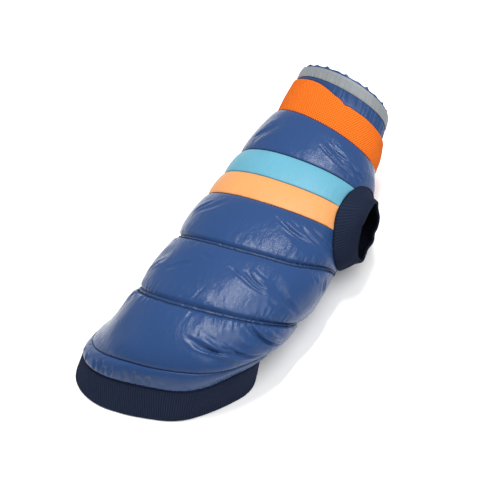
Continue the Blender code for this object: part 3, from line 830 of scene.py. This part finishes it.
# how far the painted shade reaches either side of a stitched line and of a plain seam
QUILTED_SHADE_REACH = 2.6
PLAIN_SHADE_REACH = 1.5
PLAIN_SEAMS = ("seam_3", "peach_low", "peach_sky", "sky_top", "neck_seam")


def seam_shade(run):
    """1 in the stitched lines and on the plain seams: the mask for painted shade in the seams'
    valleys.
    """
    shade = np.zeros(np.shape(run))
    for name in DOUBLE_STITCHED:
        for line in (RUN[name], RUN[name] - SECOND_LINE):
            shade = np.maximum(shade, hump((run - line) / QUILTED_SHADE_REACH))
    # on the plain seams the narrow dark line stands for the seam's thread and for the shade in the
    # joint
    for name in PLAIN_SEAMS:
        shade = np.maximum(shade, hump((run - RUN[name]) / PLAIN_SHADE_REACH))
    return shade


BELLY_COLUMNS = 96
BELLY_SHORT_REAR = 1.0
BELLY_SHORT_FRONT = 0.3
SLACK_EDGE = 8  # the slack is full from one eighth of the way between the edges


def belly(finish):
    start = RUN["hem_seam"] + SEAM_GAP / 2 + BELLY_SHORT_REAR
    end = RUN["neck_seam"] - SEAM_GAP / 2 - BELLY_SHORT_FRONT
    runs = panel_runs(start, end, BELLY_STEP)
    run, angle = panel_grid(runs, BELLY_COLUMNS, False)
    plain_grid = panel_grid(thinned(runs), BELLY_COLUMNS // THINNER, False)
    from_edge = np.linspace(0, 1, BELLY_COLUMNS + 1)
    edge = np.minimum(from_edge, from_edge[::-1])[None, :]
    slack = swelling(BELLY_SWELLS, run, angle * CLOTH_TO_A_DEGREE)
    height = slack * np.clip(edge * SLACK_EDGE, 0, 1)
    return sewn_panel("belly_panel_cloth", (run, angle), height, plain_grid, PLAIN_WALL, finish)


def round_angles(run, count):
    """Angles that lie evenly spaced along the cloth round one ring, both ends given."""
    angle = np.arange(0, 360.5, 0.5)
    points = skin(run, angle)
    gone = np.concatenate([[0], np.cumsum(np.linalg.norm(np.diff(points, axis=0), axis=1))])
    return np.interp(np.arange(count + 1) * gone[-1] / count, gone, angle), gone[-1]


RIB_POINTS = 6  # columns to a rib
RIB_ROUNDNESS = 0.7
ROUND_EDGE = 0.05  # the share of a band's width that its folded edge takes
BAND_EVERY = 3  # the plain inside of a knit band has one row in this many
HEM_SHORT = 0.7
HEM_EDGE = 0.06
HEM_EDGE_ROWS = 6
HEM_ROWS = 26
HEM_SEWN_ROWS = 5
HEM_LOFT = 0.6
HEM_SINK = 1.0
PINCHED = 0.25
SEWN_IN = 1.3
SEWN_SHARE = 0.07


def rib_profile(turns):
    """0 in a groove, 1 on a rib: rounded ribs with narrow grooves."""
    return np.abs(np.sin(np.pi * turns)) ** RIB_ROUNDNESS


def rounded(share):
    """0 at an edge, rising to 1 as a quarter circle does."""
    return np.sqrt(np.clip(1 - (1 - np.clip(share, 0, 1)) ** 2, 0, 1))


def doubled_band(name, run, angle, height, fold, sink, every, cloth, finish, groove=None):
    """A tube of doubled knit with a plain inner face, which sinks where its edges are folded."""
    outer = layer(run, angle, height)[:, :-1]
    plain = np.s_[::BAND_EVERY, ::every]
    inner_fold = fold[::BAND_EVERY]
    inner_height = -KNIT_WALL * inner_fold - sink * (1 - inner_fold) + 0 * run[plain]
    inner = layer(run[plain], angle[plain], inner_height)[:, :-1]
    return sewn_wall(name, outer, inner, cloth, cloth[plain], finish, tube=True, height=groove)


def hem_band(finish):
    middle = RUN["hem_seam"] / 2
    _, girth = round_angles(middle, 8)
    points = round(girth / RIB_PITCH) * RIB_POINTS
    angle, girth = round_angles(middle, points)
    share = np.concatenate([np.linspace(0, HEM_EDGE, HEM_EDGE_ROWS)[:-1],
                            np.linspace(HEM_EDGE, 1 - HEM_EDGE, HEM_ROWS),
                            np.linspace(1 - HEM_EDGE, 1, HEM_SEWN_ROWS)[1:]])
    run, angle = np.broadcast_arrays(share[:, None] * (RUN["hem_seam"] - HEM_SHORT), angle)
    fold = rounded(share / ROUND_EDGE)[:, None]
    pinch = np.clip((1 - share) / HEM_EDGE, PINCHED, 1)[:, None]
    rib = rib_profile(np.arange(points + 1) / RIB_POINTS)[None, :]
    wander = swelling(HEM_SWELLS, run, angle)
    sewn_in = SEWN_IN * hump((1 - share) / SEWN_SHARE)[:, None]
    height = (RIB_HEIGHT * rib * pinch + wander + HEM_LOFT) * fold
    height = height - (1 - fold) * HEM_SINK - sewn_in
    cloth = np.stack([angle / 360 * girth * MM, run * MM], -1)
    # 1 on the ribs, 0 in their grooves: where the knit finish paints highlight and shade
    groove = (rib * pinch + 0 * run)[:, :-1]
    return doubled_band("hem_band_rib", run, angle, height, fold, HEM_SINK, RIB_POINTS, cloth,
                        finish, groove)


def armhole_ring(hole, turn, height, inset):
    """Points just inside an armhole's edge, at a height above the skin."""
    c, s = cos_sin(turn)
    squared = 2 / oval_power(c)
    c = np.sign(c) * np.abs(c) ** squared
    s = np.sign(s) * np.abs(s) ** squared
    half_angle = np.where(s > 0, upper_reach(hole, c), hole.below)
    run = hole.middle_run + (np.where(c > 0, hole.front, hole.rear) - inset) * c
    away = half_angle * s * (1 - inset / ARMHOLE_HALF_DEPTH)
    angle = hole.middle_angle + (away if hole.side == "right" else -away)
    return layer(run, angle, np.full(run.shape, height))


RIM_FORWARD = 0.3  # how far a wave of the rim also leans along the leg, as a share of its depth


def rim_ring(cuff, turn):
    """The cuff's opening, its points in step with the armhole's, with a loose wavy edge."""
    axis = unit(np.array(cuff.axis))
    forward = np.array([0.0, 1.0, 0.0])
    forward = unit(forward - axis * (forward @ axis))
    upward = np.array([0.0, 0.0, 1.0])
    upward = unit(upward - axis * (upward @ axis) - forward * (upward @ forward))
    c, s = cos_sin(turn[:, None])
    waves = RIM_WAVES if cuff.armhole.side == "right" else []
    out = wave_rise(waves, turn)[:, None]
    ring = (cuff.half_length + out) * c * forward + (cuff.half_height + out) * s * upward
    return np.array(cuff.centre) + ring + axis * out * RIM_FORWARD


def cuff_swell(cuff, turn):
    """How far the middle of a cuff stands out sideways, a negative amount where it is sunk."""
    return cuff.swell - cuff.sunk * hump((turn - SUNK_TURN) / SUNK_REACH)


CUFF_RIBS = 96
CUFF_ROWS = 30
CUFF_PLAIN = 0.96
CUFF_LOFT = 0.7
LIP_RIB = 0.4
RIM_SHARES = [0.98, 0.993, 1.0]
RIM_FOLD = [0.85, 0.5, 0.0]
RIM_WALL = 0.9
INNER_RIB = 0.5


def cuff(row, finish):
    points = CUFF_RIBS * RIB_POINTS
    side = -1 if row.armhole.side == "right" else 1
    turn = np.arange(points) * 360 / points * side
    turn = np.where(turn > 180, turn - 360, np.where(turn < -180, turn + 360, turn))
    root = armhole_ring(row.armhole, turn, -QUILT_WALL, CUFF_GAP)
    lip = armhole_ring(row.armhole, turn, CUFF_LIP, CUFF_GAP)
    rim = rim_ring(row, turn)
    share = np.concatenate([np.linspace(0, CUFF_PLAIN, CUFF_ROWS), RIM_SHARES])
    swell = cuff_swell(row, turn) * np.sign(row.axis[0])
    rings = [root, (root + lip) / 2]
    for part in share:
        ring = lip + (rim - lip) * part
        ring[:, 0] += swell * arch(part)
        rings.append(ring)
    base = np.array(rings)
    around = np.roll(base, -1, 1) - np.roll(base, 1, 1)
    normal = unit(np.cross(np.gradient(base, axis=0), around))
    rib = rib_profile(np.arange(points) / RIB_POINTS)[None, :]
    fold = np.array([1, 1] + [1] * CUFF_ROWS + RIM_FOLD)[:, None]
    ribbed = np.array([0, 0, LIP_RIB] + [1] * (CUFF_ROWS - 1) + RIM_FOLD)[:, None]
    height = RIB_HEIGHT * rib * ribbed + CUFF_LOFT * fold - RIM_WALL * (1 - fold)
    outer = base + normal * height[..., None]
    at_rim = RIM_WALL + (KNIT_WALL - RIM_WALL) * fold
    depth = np.where(fold < 1, at_rim, KNIT_WALL + INNER_RIB * rib * ribbed)
    inner = base - normal * depth[..., None]
    inner = inner[:, ::2]
    length = np.linalg.norm(np.diff(base, axis=0), axis=-1).mean(1)
    along = np.concatenate([[0], np.cumsum(length)])[:, None] * MM
    around = np.arange(points + 1)[None, :] / RIB_POINTS * RIB_PITCH * MM
    cloth = np.stack(np.broadcast_arrays(around, along), -1)
    # 1 on the ribs, 0 in their grooves: where the knit finish paints highlight and shade
    groove = rib * ribbed
    return sewn_wall(row.name + "_rib", outer, inner, cloth, cloth[:, ::2], finish,
                     tube=True, height=groove)


# the upper edge of the neck band, which lies free
BAND_WAVES = [
    Wave(150, 75, 7), Wave(106, 34, 3.2), Wave(79, 6, 0.8), Wave(70, 5, -1.8), Wave(66, 30, -2),
]
ROLL_HEIGHT = 3.6
ROLL_TURN = 0.78
ROLL_EARLY = 0.8
ROLL_LIFT = 1.6
BAND_SINK = 0.2
BAND_INNER_SINK = 0.6
BAND_SLACK_EDGE = 5
BAND_FLAT = 0.93
BAND_ROWS = 40
BAND_EDGE_SHARES = [0.95, 0.97, 0.985, 0.995, 1.0]
UNDER_BAND = 2.5
COLLAR_RUN = 540
COLLAR_TILT = 5
COLLAR_HIGH_ANGLE = 20
COLLAR_EDGE = 0.06
COLLAR_SINK = 0.8
BAND_POINTS = 480
COLLAR_POINTS = 900
COLLAR_ROWS = 34
COLLAR_EVERY = 3
INNER_WAVE = 0.3
TOP_LIFT = 0.4
COLLAR_THINNEST = 0.8
# how far up the collar the painted shade under the neck band's lip reaches
BAND_SHADE_REACH = 3
TAPE_ROWS = 9
TAPE_EDGE = 3
TAPE_FLAT = 0.45  # the tape's height at its edges, and what its middle adds, as shares of its wall
TAPE_ROUND = 0.35
TAPE_WIDER = Wave(75, 75, 2.5)


def band_top_run(angle):
    """The neck band's upper edge."""
    return RUN["band_top"] + wave_rise(BAND_WAVES, angle)


def collar_top_run(angle):
    return COLLAR_RUN + COLLAR_TILT * np.cos(np.radians(angle - COLLAR_HIGH_ANGLE))


def full_turn(points):
    """Angles evenly spaced once round, both ends given."""
    return np.arange(points + 1) * 360 / points


def run_grid(low, high, share):
    return low + (high - low) * share[:, None]


def neck_band(finish):
    angle = full_turn(BAND_POINTS)
    share = np.concatenate([np.linspace(0, BAND_FLAT, BAND_ROWS), BAND_EDGE_SHARES])
    run = run_grid(RUN["neck_seam"] + SEAM_GAP / 2, band_top_run(angle) - SEAM_GAP / 2, share)
    angle = np.broadcast_to(angle, run.shape)
    fold = rounded((1 - share) / ROUND_EDGE)[:, None]
    roll = ROLL_HEIGHT * np.sin(np.pi * share**ROLL_EARLY * ROLL_TURN) + ROLL_LIFT * share
    roll = roll[:, None]
    slack = swelling(NECK_SWELLS, run, angle * CLOTH_TO_A_DEGREE)
    height = (roll + slack * np.clip(share * BAND_SLACK_EDGE, 0, 1)[:, None]) * fold
    height = height - BAND_SINK * (1 - fold)
    return doubled_band("neck_band_mesh", run, angle, height, fold, BAND_INNER_SINK, THINNER,
                        on_cloth(run, angle), finish)


Gather = namedtuple("Gather", "count height shift drift drift_count")
GATHERS = [Gather(26, 0.7, 0, 0.6, 5), Gather(61, 0.55, 0.5, 1.1, 7), Gather(97, 0.3, 1.9, 0.8, 11)]
GATHER_LEAST = 0.15
GATHER_MORE = 0.3
GATHER_MIDDLE = 0.3
GATHER_REACH = 0.4


def gathers(angle, share):
    """Crinkles drawn up by the elastic, strongest just above the neck band."""
    turn = np.radians(angle)
    wave = 0
    for row in GATHERS:
        drift = row.drift * np.sin(row.drift_count * turn)
        wave = wave + row.height * np.cos(row.count * turn + drift + row.shift)
    return wave * (GATHER_LEAST + GATHER_MORE * hump((share - GATHER_MIDDLE) / GATHER_REACH))


# the small points of the collar's upper edge
SPIKES = [
    Wave(*row)
    for row in (
        (168, 5, 2.2), (152, 9, 1.2), (136, 8, 2.0), (121, 6, 1.2), (106, 4, 2.2), (91, 7, 0.8),
        (80, 4, 1.8), (64, 6, 1.0), (52, 4, 2.4), (38, 6, 1.0), (22, 4, 2.0), (6, 5, 1.4),
        (-12, 4, 2.2), (-30, 7, 1.2), (-52, 5, 1.8), (-78, 8, 1.0), (-101, 4, 2.1),
        (-119, 6, 1.1), (-143, 5, 1.9), (-165, 7, 1.3),
    )
]


def ragged_top(angle):
    """The collar's upper edge: turned cloth that stands up in small uneven points."""
    return collar_top_run(angle) + wave_rise(SPIKES, angle) - COLLAR_SINK


def gathered(run, angle):
    """The height of the gathers at a place between the neck band and the collar's top."""
    start = band_top_run(angle)
    return gathers(angle, (run - start) / (collar_top_run(angle) - start))


def collar_surface(share):
    angle = full_turn(COLLAR_POINTS)
    run = run_grid(band_top_run(angle) - UNDER_BAND, ragged_top(angle), share)
    angle = np.broadcast_to(angle, run.shape)
    return run, angle, gathered(run, angle)


def collar(finish):
    share = np.linspace(0, 1, COLLAR_ROWS)
    run, angle, wave = collar_surface(share)
    edge = np.clip((1 - share) / COLLAR_EDGE, 0, 1)[:, None]
    height = wave - COLLAR_SINK * (1 - edge)
    outer = layer(run, angle, height)[:, :-1]
    plain = np.s_[::COLLAR_EVERY, ::COLLAR_EVERY]
    inner_height = -COLLAR_WALL + wave[plain] * INNER_WAVE
    inner_height = inner_height + TOP_LIFT * (1 - edge[::COLLAR_EVERY])
    inner_height = np.minimum(inner_height, height[plain] - COLLAR_THINNEST)
    inner = layer(run[plain], angle[plain], inner_height)[:, :-1]
    place = on_cloth(run, angle)
    # painted shade on the collar just above the neck band's lip
    shade = hump((run - run[0] - UNDER_BAND) / BAND_SHADE_REACH)[:, :-1]
    return sewn_wall("collar_shell", outer, inner, place, place[plain], finish,
                     tube=True, height=shade)


def reflective_tape(finish):
    """The tape follows the collar's crinkles, a little flatter than the cloth."""
    angle = full_turn(COLLAR_POINTS)
    top = collar_top_run(angle) - TAPE_BELOW_TOP
    share = np.linspace(0, 1, TAPE_ROWS)
    run = run_grid(top - TAPE_WIDTH - wave_rise([TAPE_WIDER], angle), top, share)
    angle = np.broadcast_to(angle, run.shape)
    wave = gathered(run, angle)
    round_edge = np.clip(arch(share) * TAPE_EDGE, 0, 1)[:, None]
    outer = layer(run, angle, wave + TAPE_LIFT + TAPE_WALL * (TAPE_FLAT + TAPE_ROUND * round_edge))
    plain = np.s_[::THINNER, ::COLLAR_EVERY]
    inner = layer(run[plain], angle[plain], wave[plain] + TAPE_LIFT / 2)
    place = on_cloth(run, angle)
    return sewn_wall("reflective_tape_band", outer[:, :-1], inner[:, :-1], place, place[plain],
                     finish, tube=True)


Stitching = namedtuple("Stitching", "name run start_angle end_angle stitch gap wide")
STITCHED = [Stitching("stitching_seam_3", RUN["seam_3"], -10, 192, 2.2, 0.9, 1.2)]
for line in DOUBLE_STITCHED:
    below = RUN[line] - SECOND_LINE
    STITCHED.append(Stitching("stitching_" + line, RUN[line], -14, 196, 1.3, 0.5, 1.8))
    STITCHED.append(Stitching("stitching_second_" + line, below, -14, 196, 1.3, 0.5, 2.6))
for line in ("peach_low", "sky_top", "neck_seam"):
    STITCHED.append(Stitching("stitching_" + line, RUN[line] - 0.3, 20, 160, 2.2, 0.5, 1.0))
THREAD = 0.4
SUNK_END = 0.1  # a stitch's height and thickness at its ends, as shares of those at its middle
THIN_END = 0.35
THREAD_SIDES = 6
THREAD_POINTS = 4
CLIMB_ROUNDS = 8  # rounds of working out where a line lies once its seam has climbed


def stitch_row(row):
    """Points and faces of one line of stitches laid along a seam; wide ones lie flatter."""
    points = []
    faces = []
    girth = CLOTH_TO_A_DEGREE * (row.end_angle - row.start_angle)
    for k in range(int(girth / (row.stitch + row.gap))):
        start = row.start_angle + k * (row.stitch + row.gap) / CLOTH_TO_A_DEGREE
        t = np.linspace(0, 1, THREAD_POINTS)
        angle = start + t * row.stitch / CLOTH_TO_A_DEGREE
        run = np.full(THREAD_POINTS, float(row.run))
        for _ in range(CLIMB_ROUNDS):
            run = row.run + seam_rise(run, angle)
        lift = padding(run, angle) + THREAD * (SUNK_END + (1 - SUNK_END) * np.sin(np.pi * t))
        line = layer(run, angle, lift)
        along = unit(skin(run + 1, angle) - skin(run, angle))
        up = skin_normal(run, angle)
        thick = THREAD * (THIN_END + (1 - THIN_END) * np.sin(np.pi * t))[:, None]
        first = len(points)
        for corner in range(THREAD_SIDES):
            turn = 2 * np.pi * corner / THREAD_SIDES
            points += list(line + thick * (np.cos(turn) * along * row.wide + np.sin(turn) * up))
        starts = [first + corner * THREAD_POINTS for corner in range(THREAD_SIDES)]
        for here, there in zip(starts, starts[1:] + starts[:1]):
            for step in range(THREAD_POINTS - 1):
                faces.append((here + step, here + step + 1, there + step + 1, there + step))
        faces.append(starts)
        faces.append([start + THREAD_POINTS - 1 for start in reversed(starts)])
    return points, faces


def stitching(row, finish):
    points, faces = stitch_row(row)
    mesh = bpy.data.meshes.new(row.name)
    mesh.from_pydata(((np.array(points) + PLACE) * MM).tolist(), [], faces)
    obj = placed(row.name, mesh, finish)
    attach(obj, "root")
    return obj


# ---- studio ----
AZIMUTH = 28
ELEVATION = 48
DISTANCE = 1.5
LENS = 90.0
SENSOR = 36.0
LOOK_AT = Vector((-0.008, 0.0, 0.06)) + Vector(PLACE * MM)


def camera():
    data = bpy.data.cameras.new("camera")
    data.lens = LENS
    data.sensor_width = SENSOR
    obj = bpy.data.objects.new("camera", data)
    ahead, aside = cos_sin(AZIMUTH)
    level, up = cos_sin(ELEVATION)
    back = Vector((aside * level, -ahead * level, up))
    obj.location = LOOK_AT + back * DISTANCE
    obj.rotation_euler = (-back).to_track_quat("-Z", "Y").to_euler()
    bpy.context.scene.collection.objects.link(obj)
    bpy.context.scene.camera = obj


Lamp = namedtuple("Lamp", "name place aim wide long turn power")
LAMPS = [
    Lamp("overhead strip", (-0.07, 0.2, 1.5), (-0.05, 0.1, 0.0), 0.1, 0.95, -16, 22.0),
    Lamp("left softbox", (-1.6, -0.1, 0.9), (0.0, 0.0, 0.05), 1.2, 1.2, 0, 2.5),
    Lamp("right softbox", (0.7, -0.3, 1.6), (0.05, 0.0, 0.0), 1.2, 1.2, 0, 21.0),
]


def softbox(lamp):
    """A rectangular light, its long side along the jacket or turned from it."""
    data = bpy.data.lights.new(lamp.name, "AREA")
    data.shape = "RECTANGLE"
    data.size = lamp.wide
    data.size_y = lamp.long
    data.energy = lamp.power
    obj = bpy.data.objects.new(lamp.name, data)
    obj.location = lamp.place
    away = Vector(lamp.place) - Vector(lamp.aim)
    turned = Quaternion((0, 0, 1), np.radians(lamp.turn))
    obj.rotation_euler = (away.to_track_quat("Z", "Y") @ turned).to_euler()
    bpy.context.scene.collection.objects.link(obj)


WORLD_STRENGTH = 0.56
FLOOR_HALF = 4.0
FLOOR_DROP = 0.0003


def studio():
    bpy.context.scene.view_settings.view_transform = "Standard"
    world = bpy.data.worlds.new("studio")
    world.use_nodes = True
    world.node_tree.nodes["Background"].inputs["Color"].default_value = (1, 1, 1, 1)
    world.node_tree.nodes["Background"].inputs["Strength"].default_value = WORLD_STRENGTH
    bpy.context.scene.world = world
    for lamp in LAMPS:
        softbox(lamp)
    mesh = bpy.data.meshes.new("floor")
    signs = ((-1, -1), (1, -1), (1, 1), (-1, 1))
    corners = [(x * FLOOR_HALF, y * FLOOR_HALF, 0) for x, y in signs]
    mesh.from_pydata(corners, [], [(0, 1, 2, 3)])
    floor = placed("floor", mesh, studio_floor("white sweep"))
    floor.location.z = -FLOOR_DROP


# ---- the jacket ----
BLUE = (0.0155, 0.0435, 0.128)
PEACH = (0.54, 0.237, 0.082)
SKY = (0.088, 0.262, 0.35)
ORANGE = (0.63, 0.128, 0.014)
NAVY = (0.0085, 0.013, 0.029)
TAPE_GREY = (0.19, 0.205, 0.215)


Panel = namedtuple("Panel", "node start end columns slot flat")
PANELS = [
    Panel("back_quilted", "hem_seam", "peach_low", 324, "blue_nylon", (0.31, 0.30)),
    Panel("stripe_peach", "peach_low", "peach_sky", 220, "peach_nylon", (0.2, 0.043)),
    Panel("stripe_sky", "peach_sky", "sky_top", 220, "sky_nylon", (0.2, 0.046)),
    Panel("yoke", "sky_top", "neck_seam", 260, "blue_nylon", (0.24, 0.074)),
]


def jacket():
    shell = nylon("blue nylon", BLUE, 0.2)
    peach = nylon("peach nylon", PEACH, 0.42)
    sky = nylon("sky nylon", SKY, 0.4)
    lining = nylon("belly nylon", shaded(BLUE, 0.9), 0.5)
    rib = rib_knit("navy rib", NAVY)
    # painted light: the hem band uses a lighter copy of the cuffs' navy rib
    hem_rib_painted_lighter = rib_knit("navy hem rib painted lighter", shaded(NAVY, 1.3))
    mesh = mesh_knit("orange mesh", ORANGE)
    tape = glass_bead_tape("grey tape", TAPE_GREY)
    seam_thread = thread("navy thread", shaded(NAVY, 0.45))
    nylons = {"blue_nylon": shell, "peach_nylon": peach, "sky_nylon": sky}
    worn(hem_band(hem_rib_painted_lighter), "hem_band", "rib_knit", (0.56, 0.047))
    for row in PANELS:
        name = row.node + "_shell"
        panel = back_panel(name, RUN[row.start], RUN[row.end], row.columns, nylons[row.slot])
        worn(panel, row.node, row.slot, row.flat)
    worn(belly(lining), "belly_panel", "belly_nylon", (0.19, 0.33), "laid")
    worn(neck_band(mesh), "neck_band", "orange_knit", (0.4, 0.05))
    worn(collar(shell), "collar", "blue_nylon", (0.42, 0.034), "gathered")
    worn(reflective_tape(tape), "reflective_tape", "grey_tape", (0.4, 0.014), "gathered")
    for row in CUFFS:
        worn(cuff(row, rib), row.name, "rib_knit", (0.26, 0.05))
    for row in STITCHED:
        stitching(row, seam_thread)


camera()
studio()
jacket()
